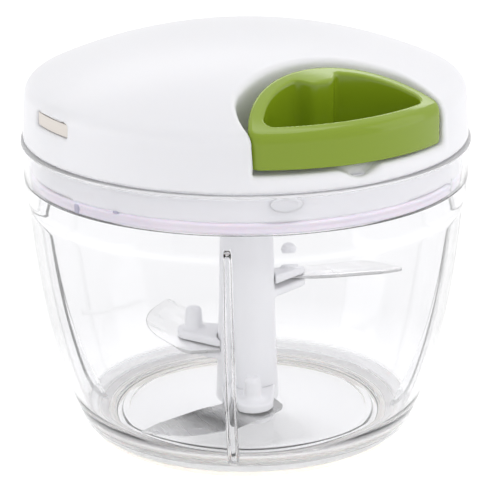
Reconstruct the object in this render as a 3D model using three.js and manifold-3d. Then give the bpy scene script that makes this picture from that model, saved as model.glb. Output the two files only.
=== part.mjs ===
// Hand-pulled food chopper: a clear bowl on a non-slip ring, a domed white lid that holds a
// cord reel and its return spring, a green D-shaped pull handle that sits in the lid, and a
// white stem with three steel blades. Millimetres, +Z up. The origin is at the bottom centre.
// The handle is pulled towards -Y. An azimuth is in degrees from -Y (front) towards +X.
import * as THREE from 'three';
import { mergeVertices } from 'three/addons/utils/BufferGeometryUtils.js';
import Module from 'manifold-3d';

const wasm = await Module();
wasm.setup();

// ---------------------------------------------------------------- driving dimensions
const GAP = 0.3; // clearance between pieces that touch or run on each other
const ROUND = 48; // facets round the large turned pieces

const BOWL = {
  rimRadius: 66.2,
  rimHeight: 91.2,
  wall: 2.7,
  collarHeight: 13.6,
  collarWall: 2.2,
  collarDraft: 0.9,
  shoulderInset: 1.5, // side wall to rim, at the collar's foot
  footRadius: 50.8,
  footHeight: 6,
  footFlare: 0.42, // outward lean at the foot, mm per mm
  shoulderFlare: 0.07,
  floorTop: 5,
  floorThickness: 2.6,
  floorRadius: 41.5,
  ledgeDepth: 11.7, // rim down to the ledge that carries the seal
};
const RIB = { count: 4, firstAzimuth: -35, thickness: 1.9, topDrop: 16.9, topDepth: 0.7, footInset: 7 };
const RING = { height: 3, outerInset: 2.2, width: 8.2, toe: 4 };
const PIVOT = { radius: 2, bossRadius: 5.6, bossHeight: 2.2, length: 11 };
const SEAL = { height: 3, width: 2 };
const LID = {
  inset: 0.7, // lid wall to bowl rim
  wall: 2.2,
  wallHeight: 14,
  wallDraft: 0.9,
  shoulderRadius: 2.2,
  domeRise: 14,
  plateHeight: 2.5, // inner cover's plate
  plateLift: 1.4, // plate above the skirt's lower edge
  skirtWall: 2,
};
const HANDLE = {
  radius: 34, // of its back arc
  back: 34.7, // the back arc's distance from the axis
  frontInset: 1.1,
  corner: 3.5,
  wall: 4.2,
  floor: 2.5,
  bossWidth: 10,
  bossDepth: 4.3,
};
const KNOT = { radius: 2.2, pocketGap: 0.5, frontWall: 0.9, headroom: 1 };
const RECESS = {
  radius: 41, // of its back arc
  back: 30.8, // the back arc's distance from the axis
  sideGap: 0.5,
  wall: 2,
  floorAboveWallFoot: 4.7,
  floorThickness: 3,
  handleLift: 0.9,
};
const SCALLOP = { halfWidth: 5.9, depth: 2.2, reach: 3.5 };
const CORD = { radius: 1.1, aboveRecessFloor: 7.5 };
const REEL = { clearance: 1.4, grooveDepth: 7.1, groove: 5.4, flange: 1.5, drumDepth: 5, hubRadius: 7.5 };
const SPRING = { strip: 0.5, turns: 6, height: 7, caseWall: 1.5 };
const SHAFT = { radius: 2.5 };
const SOCKET = { radius: 7.9, hex: 5.6, stemGrip: 6, height: 10.4, spigotHex: 5, spigot: 4.2 };
const BUSH = { wall: 1.5, flange: 3, flangeHeight: 1.2 };
const STEM = { footRadius: 9.5, topRadius: 7.8, hexHead: 5.2 };
const FOOT_BUSH = { wall: 1.3, length: 8 };
const BLADE = { thickness: 1.2, width: 19.6, clamp: 2.6, ledge: 2.2, pegRadius: 2.9, pegTop: 10.2 };
const BLADES = [
  { name: 'lower', height: 5.2, tipInset: 4.9, tipAzimuth: -71.8, pegAzimuth: -25, pegReach: 17, armRadius: 6.2 },
  { name: 'middle', height: 19, tipInset: 3.2, tipAzimuth: -178, pegAzimuth: -142, pegReach: 17.6, armRadius: 5 },
  { name: 'upper', height: 38, tipInset: 0.5, tipAzimuth: 76, pegAzimuth: 99, pegReach: 16.7, armRadius: 5 },
];
const WINDOW = { azimuths: [-88, 92], width: 18.5, height: 4.2, aboveWallFoot: 9, clipWall: 1.7, clipWidth: 14 };
const SCREW = { azimuths: [180, 75, -75], circle: 46, radius: 1.4, length: 11, head: 2.9, headHeight: 1.4, post: 4 };
const DETENT = { azimuth: -21, belowRim: 3, halfWidth: 4.5, halfHeight: 2.2, height: 0.3 };

// ---------------------------------------------------------------- places worked out from them
const rimTop = BOWL.rimHeight;
const collarInner = BOWL.rimRadius - BOWL.collarWall;
const ledgeTop = rimTop - BOWL.ledgeDepth;
const shoulderHeight = rimTop - BOWL.collarHeight - 1.6;
const shoulderRadius = BOWL.rimRadius - BOWL.shoulderInset;
const skirtBottom = ledgeTop + SEAL.height + 2 * GAP;
const skirtRadius = collarInner - 2 * GAP;
const plateBottom = skirtBottom + LID.plateLift;
const plateTop = plateBottom + LID.plateHeight;
const lidFoot = rimTop + 0.4;
const lidRadius = BOWL.rimRadius - LID.inset;
const lidShoulder = lidRadius - LID.wallDraft;
const domeEdge = { radius: lidShoulder - LID.shoulderRadius * 0.75, height: lidFoot + LID.wallHeight + 2.4 };
const domeSphere = (domeEdge.radius ** 2 + LID.domeRise ** 2) / (2 * LID.domeRise);
const domeCentre = domeEdge.height + LID.domeRise - domeSphere;
const handleFront = lidRadius - HANDLE.frontInset;
const handleCentre = HANDLE.back + HANDLE.radius; // distance of the back arc's centre from the axis
const recessFloor = lidFoot + RECESS.floorAboveWallFoot;
const recessCentre = RECESS.back + RECESS.radius;
const handleBottom = recessFloor + RECESS.handleLift;
const cordHeight = recessFloor + CORD.aboveRecessFloor;
const reelRadius = RECESS.back - RECESS.wall - REEL.clearance;
const payoutRadius = reelRadius - REEL.grooveDepth;
const windingRadius = payoutRadius - CORD.radius - GAP;
const reelBottom = cordHeight - REEL.groove / 2 - GAP - REEL.flange;
const reelTop = cordHeight + REEL.groove / 2 + GAP + REEL.flange;
const caseTop = reelBottom - 0.5;
const caseRadius = reelRadius - 1;
const bushInner = SOCKET.radius + GAP;
const bushOuter = bushInner + BUSH.wall;
const hubBottom = plateTop + GAP + BUSH.flangeHeight + GAP;
const socketBottom = hubBottom - GAP - SOCKET.height;
const stemBottom = BOWL.floorTop + PIVOT.bossHeight + 0.4;
const stemShoulder = socketBottom - GAP;
const shaftTop = reelTop + 5;
const bossEnd = HANDLE.back + HANDLE.wall + HANDLE.bossDepth;
const knotOut = bossEnd - KNOT.frontWall - KNOT.pocketGap - KNOT.radius; // distance of the knot from the axis

// ---------------------------------------------------------------- colours
const COLOURS = {
  clear: [0xe9ecf2, 0.08, 0],
  white: [0xf2f1f4, 0.3, 0],
  green: [0x9bbd3c, 0.25, 0],
  grip: [0xe6e0d6, 0.7, 0],
  silicone: [0xa9a6ba, 0.55, 0],
  beige: [0xe5dfd8, 0.45, 0],
  steel: [0xc9cbd0, 0.28, 1],
  nylon: [0xdedbd2, 0.5, 0],
  cord: [0xf0efe9, 0.9, 0],
};

const model = new THREE.Group();

// ---------------------------------------------------------------- shape helpers
const turn = THREE.MathUtils.degToRad;
const at = (radius, azimuth) => [radius * Math.sin(turn(azimuth)), -radius * Math.cos(turn(azimuth))];

// A closed geometry as a solid that can be joined and cut.
function solid(geometry) {
  const bare = geometry.clone();
  bare.deleteAttribute('normal');
  bare.deleteAttribute('uv');
  const merged = mergeVertices(bare, 1e-4);
  const corners = merged.index.array;
  const kept = [];
  for (let i = 0; i < corners.length; i += 3) {
    const [a, b, c] = corners.slice(i, i + 3);
    if (a !== b && b !== c && c !== a) kept.push(a, b, c);
  }
  const vertProperties = new Float32Array(merged.attributes.position.array);
  return new wasm.Manifold(new wasm.Mesh({ numProp: 3, vertProperties, triVerts: new Uint32Array(kept) }));
}

function geometryOf(body) {
  const mesh = body.getMesh();
  const geometry = new THREE.BufferGeometry();
  geometry.setAttribute('position', new THREE.BufferAttribute(new Float32Array(mesh.vertProperties), 3));
  geometry.setIndex(new THREE.BufferAttribute(new Uint32Array(mesh.triVerts), 1));
  geometry.computeVertexNormals();
  return geometry;
}

function add(name, body, colour) {
  const [color, roughness, metalness] = COLOURS[colour];
  const material = new THREE.MeshStandardMaterial({ color, roughness, metalness });
  if (colour === 'clear') Object.assign(material, { transparent: true, opacity: 0.35 });
  const mesh = new THREE.Mesh(geometryOf(body), material);
  mesh.name = name;
  model.add(mesh);
}

// A body turned about Z from [radius, height] points, anticlockwise with the radius to the right.
function turned(points, segments = ROUND) {
  const profile = points.map(([radius, height]) => new THREE.Vector2(radius, height));
  return solid(new THREE.LatheGeometry(profile, segments).rotateX(Math.PI / 2));
}

// A ring of rectangular section.
function ring(inner, outer, bottom, top, segments = ROUND) {
  const section = [[outer, bottom], [outer, top], [inner, top], [inner, bottom], [outer, bottom]];
  return turned(section, segments);
}

function disc(radius, bottom, top, segments = ROUND) {
  return turned([[0, bottom], [radius, bottom], [radius, top], [0, top]], segments);
}

function hexagon(radius, bottom, top) {
  return disc(radius, bottom, top, 6);
}

function prism(outline, bottom, top, curveSegments = 9) {
  const options = { depth: top - bottom, bevelEnabled: false, curveSegments };
  return solid(new THREE.ExtrudeGeometry(outline, options).translate(0, 0, bottom));
}

// A straight round rod that lies along -Y, from one distance off the axis to another.
function rodAlongPull(radius, from, to, height, segments = 16) {
  const rod = new THREE.CylinderGeometry(radius, radius, to - from, segments);
  return solid(rod.translate(0, -(from + to) / 2, height));
}

function bezier(points, steps) {
  const curve = new THREE.CubicBezierCurve(...points.map(([x, y]) => new THREE.Vector2(x, y)));
  return curve.getPoints(steps).map((point) => [point.x, point.y]);
}

// A block between two radii, bent round the axis, half as long each way as the angle half.
function sector(inner, outer, azimuth, half, bottom, top, curveSegments = 6) {
  const middle = turn(azimuth - 90);
  const outline = new THREE.Shape();
  outline.absarc(0, 0, outer, middle - half, middle + half, false);
  outline.absarc(0, 0, inner, middle + half, middle - half, true);
  return prism(outline, bottom, top, curveSegments);
}

// The D outline: an arc round (0, -centre) met by an arc round the axis, with rounded corners.
function dOutline(centre, backRadius, frontRadius, corner) {
  const fromAxis = frontRadius - corner;
  const fromCentre = backRadius - corner;
  const cornerOut = (fromAxis ** 2 - fromCentre ** 2 + centre ** 2) / (2 * centre);
  const cornerSide = Math.sqrt(fromAxis ** 2 - cornerOut ** 2);
  const backAngle = Math.atan2(centre - cornerOut, cornerSide);
  const frontAngle = Math.atan2(-cornerOut, cornerSide);
  const outline = new THREE.Shape();
  outline.absarc(0, -centre, backRadius, backAngle, Math.PI - backAngle, false);
  outline.absarc(-cornerSide, -cornerOut, corner, Math.PI - backAngle, Math.PI - frontAngle, false);
  outline.absarc(0, 0, frontRadius, -Math.PI - frontAngle, frontAngle, false);
  outline.absarc(cornerSide, -cornerOut, corner, frontAngle, backAngle, false);
  return outline;
}

// ---------------------------------------------------------------- bowl
const outerWall = bezier([
  [BOWL.footRadius, BOWL.footHeight],
  [BOWL.footRadius + BOWL.footFlare * 20, BOWL.footHeight + 20],
  [shoulderRadius - BOWL.shoulderFlare * 28, shoulderHeight - 28],
  [shoulderRadius, shoulderHeight],
], 7);

function bowl() {
  const ringOuter = BOWL.footRadius - RING.outerInset;
  const ringInner = ringOuter - RING.width;
  const underside = BOWL.floorTop - BOWL.floorThickness;
  const overRing = RING.height + GAP;
  const innerWall = outerWall.slice(2).reverse().map(([radius, height]) => [radius - BOWL.wall, height]);
  const wallFoot = innerWall[innerWall.length - 1];
  const floorCurve = bezier([
    wallFoot,
    [wallFoot[0] - 2.6, wallFoot[1] - 6],
    [BOWL.floorRadius + 4, BOWL.floorTop],
    [BOWL.floorRadius, BOWL.floorTop],
  ], 5).slice(1);
  const profile = [
    [0, underside],
    [ringInner - GAP, underside],
    [ringInner - GAP, overRing],
    [ringOuter, overRing],
    [BOWL.footRadius - 0.9, overRing + 1.1],
    ...outerWall,
    [shoulderRadius + 0.2, rimTop - BOWL.collarHeight - 0.2],
    [BOWL.rimRadius - BOWL.collarDraft, rimTop - BOWL.collarHeight + 0.4],
    [BOWL.rimRadius, rimTop - 0.6],
    [BOWL.rimRadius - 0.4, rimTop],
    [collarInner, rimTop],
    [collarInner, ledgeTop],
    [shoulderRadius - BOWL.wall, ledgeTop],
    ...innerWall,
    ...floorCurve,
    [PIVOT.bossRadius + 0.5, BOWL.floorTop],
    [PIVOT.bossRadius, BOWL.floorTop + PIVOT.bossHeight],
    [PIVOT.radius + GAP, BOWL.floorTop + PIVOT.bossHeight],
    [PIVOT.radius + GAP, underside + 0.9],
    [0, underside + 0.9],
  ];
  let body = turned(profile);
  for (let i = 0; i < RIB.count; i += 1) body = body.add(bowlRib(RIB.firstAzimuth + (i * 360) / RIB.count));
  return body;
}

// A fin on the bowl's inner wall that stops the food from turning with the blades.
function bowlRib(azimuth) {
  const top = rimTop - RIB.topDrop;
  const inWall = BOWL.wall - 0.9;
  const topRadius = shoulderRadius - BOWL.wall - RIB.topDepth;
  const footRadius = BOWL.footRadius - RIB.footInset;
  const crest = bezier([
    [topRadius, top],
    [topRadius - 2.3, top - 25],
    [footRadius + 12.5, BOWL.floorTop + 22],
    [footRadius, BOWL.floorTop - 0.6],
  ], 8);
  const back = outerWall.slice(0, 7).map(([radius, height]) => [radius - inWall, Math.max(height, 5.4)]);
  const outline = new THREE.Shape([...back, ...crest].map(([radius, height]) => new THREE.Vector2(radius, height)));
  const plate = new THREE.ExtrudeGeometry(outline, { depth: RIB.thickness, bevelEnabled: false });
  plate.translate(0, 0, -RIB.thickness / 2).rotateX(Math.PI / 2).rotateZ(turn(azimuth - 90));
  return solid(plate);
}

function baseRing() {
  const outer = BOWL.footRadius - RING.outerInset - 0.1;
  const inner = outer - RING.width + 0.1;
  const round = [0.12, 0.4, 0.75].map((share) => [outer - RING.toe * (1 - share) ** 2, RING.height * share]);
  const section = [[outer - RING.toe, 0], ...round, [outer, RING.height], [inner, RING.height], [inner, 0]];
  return turned([...section, section[0]]);
}

function pivotPin() {
  const bottom = BOWL.floorTop - BOWL.floorThickness + 0.9 + GAP;
  const top = bottom + PIVOT.length;
  return turned([[0, bottom], [PIVOT.radius, bottom], [PIVOT.radius, top - 1], [1, top], [0, top]], 20);
}

// ---------------------------------------------------------------- lid shells
const domeHeight = (radius) => domeCentre + Math.sqrt(domeSphere ** 2 - radius ** 2);

// The lid's outer form as a full solid, or its hollow when an inset is given.
function lidForm(inset, bottom) {
  const dome = [];
  for (let i = 0; i <= 8; i += 1) {
    const radius = (domeEdge.radius - inset) * (1 - i / 8);
    dome.push([radius, domeHeight(radius) - inset]);
  }
  const shoulder = lidFoot + LID.wallHeight;
  return turned([
    [0, bottom],
    [lidRadius - inset, bottom],
    [lidShoulder - inset, shoulder - inset],
    [lidShoulder - inset - 0.3, shoulder - inset + 1.4],
    ...dome,
  ]);
}

function recessOutline(grow) {
  const radius = RECESS.radius + grow;
  const side = handleSide() + RECESS.sideGap + grow;
  const angle = Math.acos(side / radius);
  const outline = new THREE.Shape();
  outline.absarc(0, -recessCentre, radius, angle, Math.PI - angle, false);
  outline.lineTo(-side, -lidRadius - 12);
  outline.lineTo(side, -lidRadius - 12);
  return outline;
}

// Half the handle's width, at its rounded front corners.
function handleSide() {
  const fromAxis = handleFront - HANDLE.corner;
  const fromCentre = HANDLE.radius - HANDLE.corner;
  const cornerOut = (fromAxis ** 2 - fromCentre ** 2 + handleCentre ** 2) / (2 * handleCentre);
  return Math.sqrt(fromAxis ** 2 - cornerOut ** 2) + HANDLE.corner;
}

function lidCover() {
  const form = lidForm(0, lidFoot);
  const pocketShell = prism(recessOutline(RECESS.wall), recessFloor - RECESS.floorThickness, recessFloor + 60);
  const bearingBoss = ring(SHAFT.radius + BUSH.wall + 2 * GAP, SHAFT.radius + BUSH.wall + 3, reelTop + 2, shaftTop + 8, 24);
  let body = form.subtract(lidForm(LID.wall, lidFoot - 5));
  body = body.add(pocketShell.intersect(form)).add(bearingBoss.intersect(form));
  for (const azimuth of SCREW.azimuths) {
    const [x, y] = at(SCREW.circle, azimuth);
    const post = ring(SCREW.radius + GAP, SCREW.post, plateTop + GAP, rimTop + 40, 16).translate([x, y, 0]);
    body = body.add(post.intersect(form));
  }
  body = body.subtract(prism(recessOutline(0), recessFloor, recessFloor + 60));
  body = body.subtract(rodAlongPull(CORD.radius + 2, RECESS.back - 8, RECESS.back + 4, cordHeight));
  for (const azimuth of WINDOW.azimuths) {
    const bottom = lidFoot + WINDOW.aboveWallFoot;
    const half = WINDOW.width / 2 / lidRadius;
    body = body.subtract(sector(40, lidRadius + 5, azimuth, half, bottom, bottom + WINDOW.height));
  }
  const scallopRadius = (SCALLOP.halfWidth ** 2 + SCALLOP.depth ** 2) / (2 * SCALLOP.depth);
  const scallopAxis = recessFloor - SCALLOP.depth + scallopRadius;
  return body.subtract(rodAlongPull(scallopRadius, lidRadius - SCALLOP.reach, lidRadius + 8, scallopAxis, 32));
}

function lidBase() {
  const upper = lidRadius - LID.wall - 2 * GAP;
  const skirtTop = recessFloor - RECESS.floorThickness - GAP;
  const inner = skirtRadius - LID.skirtWall;
  let body = turned([
    [skirtRadius, skirtBottom],
    [skirtRadius, rimTop],
    [upper, rimTop + 0.3],
    [upper, skirtTop],
    [inner, skirtTop],
    [inner, plateTop],
    [bushOuter + GAP, plateTop],
    [bushOuter + GAP, plateBottom],
    [inner, plateBottom],
    [inner, skirtBottom],
    [skirtRadius, skirtBottom],
  ]);
  for (const azimuth of SCREW.azimuths) {
    const [x, y] = at(SCREW.circle, azimuth);
    const hole = disc(SCREW.radius + GAP, plateBottom - 1, plateTop + 1, 16);
    const sink = disc(SCREW.head + GAP, plateBottom - 1, plateBottom + SCREW.headHeight + 0.1, 16);
    body = body.subtract(hole.add(sink).translate([x, y, 0]));
  }
  const nub = new THREE.SphereGeometry(1, 20, 12).scale(DETENT.halfWidth, 1, DETENT.halfHeight);
  const [nubX, nubY] = at(skirtRadius + DETENT.height - 1, DETENT.azimuth);
  nub.rotateZ(turn(DETENT.azimuth)).translate(nubX, nubY, rimTop - DETENT.belowRim);
  return body.add(solid(nub));
}

function sealRing() {
  const outer = collarInner - 1.5 * GAP;
  const bottom = ledgeTop + GAP;
  return ring(outer - SEAL.width, outer, bottom, bottom + SEAL.height);
}

// The inner cover's snap hook, whose nose shows in the lid's side window.
function sideClip(azimuth) {
  const inner = skirtRadius - LID.skirtWall - 2 * GAP - WINDOW.clipWall;
  const bottom = lidFoot + WINDOW.aboveWallFoot + GAP;
  const noseHalf = (WINDOW.width / 2 - 1.5 * GAP) / lidRadius;
  const nose = sector(inner, lidRadius - 1.4, azimuth, noseHalf, bottom, bottom + WINDOW.height - 2 * GAP);
  const stalkHalf = WINDOW.clipWidth / 2 / lidRadius;
  return nose.add(sector(inner, inner + WINDOW.clipWall, azimuth, stalkHalf, plateTop + GAP, bottom + 1));
}

function lidScrew(azimuth) {
  const [x, y] = at(SCREW.circle, azimuth);
  const neck = plateBottom + SCREW.headHeight - 0.2;
  const head = [[0, plateBottom + 0.1], [SCREW.head, plateBottom + 0.1], [SCREW.head, neck], [SCREW.radius, neck]];
  return turned([...head, [SCREW.radius, neck + SCREW.length], [0, neck + SCREW.length]], 16).translate([x, y, 0]);
}

// ---------------------------------------------------------------- reel, spring and drive
function reel() {
  const drum = windingRadius - REEL.drumDepth;
  const bore = SHAFT.radius + GAP;
  const body = turned([
    [REEL.hubRadius, hubBottom],
    [REEL.hubRadius, reelBottom],
    [reelRadius, reelBottom],
    [reelRadius, reelBottom + REEL.flange],
    [drum, reelBottom + REEL.flange],
    [drum, reelTop - REEL.flange],
    [reelRadius, reelTop - REEL.flange],
    [reelRadius, reelTop],
    [bore, reelTop],
    [bore, hubBottom],
    [REEL.hubRadius, hubBottom],
  ], 36);
  return body.subtract(hexagon(SOCKET.spigotHex + 2 * GAP, hubBottom - 1, hubBottom + SOCKET.spigot));
}

function cordWinding() {
  const drum = windingRadius - REEL.drumDepth;
  return ring(drum + GAP, windingRadius, cordHeight - REEL.groove / 2, cordHeight + REEL.groove / 2, 36);
}

// A flat coil of spring strip round the reel's hub, inside the fixed case.
function spiralSpring() {
  const steps = 84;
  const start = REEL.hubRadius + 0.9;
  const end = caseRadius - SPRING.caseWall - 0.9;
  const edge = (extra) => Array.from({ length: steps + 1 }, (_, i) => {
    const radius = start + ((end - start) * i) / steps + extra;
    return new THREE.Vector2(...at(radius, (i / steps) * SPRING.turns * 360));
  });
  const outline = new THREE.Shape([...edge(SPRING.strip), ...edge(0).reverse()]);
  const bottom = plateTop + 1.6;
  return prism(outline, bottom, bottom + SPRING.height, 1);
}

function springCase() {
  return ring(caseRadius - SPRING.caseWall, caseRadius, plateTop + GAP, caseTop - 1.2 - GAP, 36);
}

function springCaseCover() {
  return ring(REEL.hubRadius + 2 * GAP, caseRadius, caseTop - 1.2, caseTop, 36);
}

function driveShaft() {
  const bottom = hubBottom - 2.2;
  const chamfer = [[SHAFT.radius, shaftTop - 0.6], [SHAFT.radius - 0.6, shaftTop], [0, shaftTop]];
  return turned([[0, bottom], [SHAFT.radius, bottom], ...chamfer], 20);
}

function driveSocket() {
  const top = hubBottom - GAP;
  const roof = 2.2;
  let body = disc(SOCKET.radius, socketBottom, top, 32).add(hexagon(SOCKET.spigotHex, top - 1, top + SOCKET.spigot));
  body = body.subtract(hexagon(SOCKET.hex, socketBottom - 1, top - roof));
  return body.subtract(disc(SHAFT.radius + GAP, top - roof - 1, top + 20, 20));
}

function bearingBush() {
  const seat = plateTop + GAP;
  return turned([
    [bushOuter, skirtBottom + 0.6],
    [bushOuter, seat],
    [bushOuter + BUSH.flange, seat],
    [bushOuter + BUSH.flange, seat + BUSH.flangeHeight],
    [bushInner, seat + BUSH.flangeHeight],
    [bushInner, skirtBottom + 0.6],
    [bushOuter, skirtBottom + 0.6],
  ], 32);
}

// ---------------------------------------------------------------- blades
const stemRadiusAt = (height) => {
  const share = (height - stemBottom) / (stemShoulder - stemBottom);
  return STEM.topRadius + (STEM.footRadius - STEM.topRadius) * (1 - share) ** 1.6;
};
const bladeMiddle = (blade) => BOWL.floorTop + blade.height;

// An arm that narrows from the stem's width out to a blade's peg.
function arm(blade, bottom, top) {
  const root = stemRadiusAt(bottom) - 0.6;
  const taper = Math.asin((root - blade.armRadius) / blade.pegReach);
  const outline = new THREE.Shape();
  outline.absarc(0, -blade.pegReach, blade.armRadius, Math.PI - taper, 2 * Math.PI + taper, false);
  outline.absarc(0, 0, root, taper, Math.PI - taper, false);
  return prism(outline, bottom, top, 9).rotate([0, 0, blade.pegAzimuth]);
}

function bladeStem() {
  const heights = [0.05, 0.3, 0.55, 0.8, 1].map((share) => stemBottom + share * (stemShoulder - stemBottom));
  const side = heights.map((height) => [stemRadiusAt(height), height]);
  const foot = [[0, stemBottom], [STEM.footRadius - 0.8, stemBottom]];
  let body = turned([...foot, ...side, [0, stemShoulder]], 32);
  body = body.add(hexagon(STEM.hexHead, stemShoulder - 1, stemShoulder + SOCKET.stemGrip));
  for (const blade of BLADES) {
    const top = bladeMiddle(blade) - BLADE.thickness / 2 - GAP;
    const bottom = Math.max(top - BLADE.ledge, stemBottom);
    body = body.add(arm(blade, bottom, top));
  }
  const bore = PIVOT.radius + GAP + FOOT_BUSH.wall + GAP;
  return body.subtract(disc(bore, stemBottom - 1, stemBottom + FOOT_BUSH.length + 1.4, 20));
}

function footBush() {
  const inner = PIVOT.radius + GAP;
  return ring(inner, inner + FOOT_BUSH.wall, stemBottom + 0.4, stemBottom + 0.4 + FOOT_BUSH.length, 20);
}

// A broad curved blade: a straight back, a bellied cutting edge and a pointed tip.
function bladePlate(blade) {
  const tip = BOWL.footRadius - blade.tipInset;
  const belly = BLADE.width;
  const outline = new THREE.Shape();
  outline.moveTo(tip, 0);
  outline.bezierCurveTo(tip - 2.5, belly * 0.56, tip - 14, belly * 1.01, tip - 28.7, belly);
  outline.quadraticCurveTo(8, belly, 4, belly * 0.9);
  outline.lineTo(0, 8);
  outline.lineTo(9, 4.6);
  outline.quadraticCurveTo(16, 3.4, 27.8, 0.8);
  outline.lineTo(tip - 7, -0.6);
  const middle = bladeMiddle(blade);
  const plate = prism(outline, middle - BLADE.thickness / 2, middle + BLADE.thickness / 2, 10);
  const clearance = disc(stemRadiusAt(middle) + GAP, middle - 5, middle + 5, 32);
  return plate.rotate([0, 0, blade.tipAzimuth - 90]).subtract(clearance);
}

function bladeClamp(blade) {
  const bottom = bladeMiddle(blade) + BLADE.thickness / 2 + GAP;
  const top = bottom + BLADE.clamp;
  const pegTop = bladeMiddle(blade) + BLADE.pegTop;
  const peg = turned([
    [0, top - 1],
    [BLADE.pegRadius, top - 1],
    [BLADE.pegRadius * 0.86, pegTop - 1.6],
    [BLADE.pegRadius * 0.6, pegTop - 0.3],
    [0, pegTop],
  ], 16).translate([...at(blade.pegReach, blade.pegAzimuth), 0]);
  const clearance = disc(stemRadiusAt(bottom) + GAP, bottom - 1, top + 1, 32);
  return arm(blade, bottom, top).subtract(clearance).add(peg);
}

// ---------------------------------------------------------------- handle and cord
function handle() {
  const rim = lidForm(0, lidFoot);
  const inner = dOutline(handleCentre, HANDLE.radius - HANDLE.wall, handleFront - HANDLE.wall, HANDLE.corner);
  let hollow = prism(inner, handleBottom + HANDLE.floor, handleBottom + 60);
  const side = HANDLE.bossWidth / 2;
  const boss = new THREE.Shape();
  boss.absarc(side - 2.5, -bossEnd + 2.5, 2.5, -Math.PI / 2, 0, false);
  boss.lineTo(side, -HANDLE.back + 2);
  boss.lineTo(-side, -HANDLE.back + 2);
  boss.absarc(-side + 2.5, -bossEnd + 2.5, 2.5, Math.PI, Math.PI * 1.5, false);
  hollow = hollow.subtract(prism(boss, handleBottom, handleBottom + 60, 4));
  let body = prism(dOutline(handleCentre, HANDLE.radius, handleFront, HANDLE.corner), handleBottom, handleBottom + 60);
  body = body.intersect(rim).subtract(hollow);
  body = body.subtract(rodAlongPull(CORD.radius + 0.5, HANDLE.back - 2, knotOut, cordHeight));
  const pocketTop = cordHeight + KNOT.radius + KNOT.headroom;
  const pocket = disc(KNOT.radius + KNOT.pocketGap, handleBottom - 1, pocketTop, 24);
  return body.subtract(pocket.translate([0, -knotOut, 0]));
}

function tube(points, steps) {
  const path = new THREE.CatmullRomCurve3(points.map(([x, y]) => new THREE.Vector3(x, y, cordHeight)));
  const section = new THREE.Shape();
  for (let i = 0; i < 8; i += 1) {
    const angle = (i / 8) * 2 * Math.PI;
    const [x, y] = [CORD.radius * Math.cos(angle), CORD.radius * Math.sin(angle)];
    if (i === 0) section.moveTo(x, y);
    else section.lineTo(x, y);
  }
  return solid(new THREE.ExtrudeGeometry(section, { steps, extrudePath: path, bevelEnabled: false }));
}

// The cord from the reel's winding to the eyelet, and through it.
function cordLead() {
  const bend = reelRadius - 0.5;
  const tangent = -THREE.MathUtils.radToDeg(Math.acos(payoutRadius / bend));
  const [startX, startY] = at(payoutRadius, tangent);
  const along = (share) => [startX * (1 - share), startY + (-bend - startY) * share];
  return tube([along(0), along(0.45), along(0.85), [0, -bend - 1.6], [0, -HANDLE.back + 1.4]], 12);
}

function cordTail() {
  return rodAlongPull(CORD.radius, HANDLE.back - 1.1, knotOut - KNOT.radius - GAP, cordHeight, 8);
}

function cordKnot() {
  const knot = new THREE.SphereGeometry(KNOT.radius, 14, 8);
  return solid(knot.translate(0, -knotOut, cordHeight));
}

function cordEyelet() {
  const inner = CORD.radius + 0.4;
  const tubeRadius = CORD.radius + 1.6;
  const length = RECESS.wall + 1.6;
  const profile = turned([
    [tubeRadius, 0],
    [tubeRadius, length - 0.9],
    [tubeRadius + 1.5, length - 0.9],
    [tubeRadius + 1.5, length],
    [inner + 0.3, length],
    [inner, length - 0.4],
    [inner, 0],
    [tubeRadius, 0],
  ], 16);
  return profile.rotate([90, 0, 0]).translate([0, -(RECESS.back - RECESS.wall + 0.1), cordHeight]);
}

// ---------------------------------------------------------------- assembly
add('bowl', bowl(), 'clear');
add('base_ring', baseRing(), 'grip');
add('pivot_pin', pivotPin(), 'steel');
add('seal_ring', sealRing(), 'silicone');
add('lid_cover', lidCover(), 'white');
add('lid_base', lidBase(), 'white');
add('side_clip_left', sideClip(WINDOW.azimuths[0]), 'beige');
add('side_clip_right', sideClip(WINDOW.azimuths[1]), 'beige');
SCREW.azimuths.forEach((azimuth, i) => add(`lid_screw_${i + 1}`, lidScrew(azimuth), 'steel'));
add('bearing_bush', bearingBush(), 'nylon');
add('spring_case', springCase(), 'nylon');
add('spring_case_cover', springCaseCover(), 'nylon');
add('thrust_washer', ring(SHAFT.radius + GAP, 6.5, reelTop + GAP, reelTop + 1.3, 20), 'nylon');
const topBush = [SHAFT.radius + GAP, SHAFT.radius + GAP + BUSH.wall, reelTop + 1.3 + GAP, shaftTop - 0.2, 20];
add('top_bush', ring(...topBush), 'nylon');
add('cord_eyelet', cordEyelet(), 'white');
add('cord_lead', cordLead(), 'cord');
add('cord_reel', reel(), 'white');
add('cord_winding', cordWinding(), 'cord');
add('spiral_spring', spiralSpring(), 'steel');
add('drive_shaft', driveShaft(), 'steel');
add('drive_socket', driveSocket(), 'white');
add('blade_stem', bladeStem(), 'white');
add('foot_bush', footBush(), 'nylon');
for (const blade of BLADES) {
  add(`blade_${blade.name}`, bladePlate(blade), 'steel');
  add(`blade_clamp_${blade.name}`, bladeClamp(blade), 'white');
}
add('handle', handle(), 'green');
add('cord_tail', cordTail(), 'cord');
add('cord_knot', cordKnot(), 'cord');

export default model;
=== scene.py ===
"""Looks of the pull-cord food chopper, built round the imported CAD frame. Lengths inside the shape
functions are in millimetres and are scaled to metres when a mesh is made. An azimuth is in degrees
from -Y (the side the handle is pulled to) towards +X."""
import math

import bpy
import numpy as np
from mathutils import Matrix, Quaternion, Vector


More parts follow.
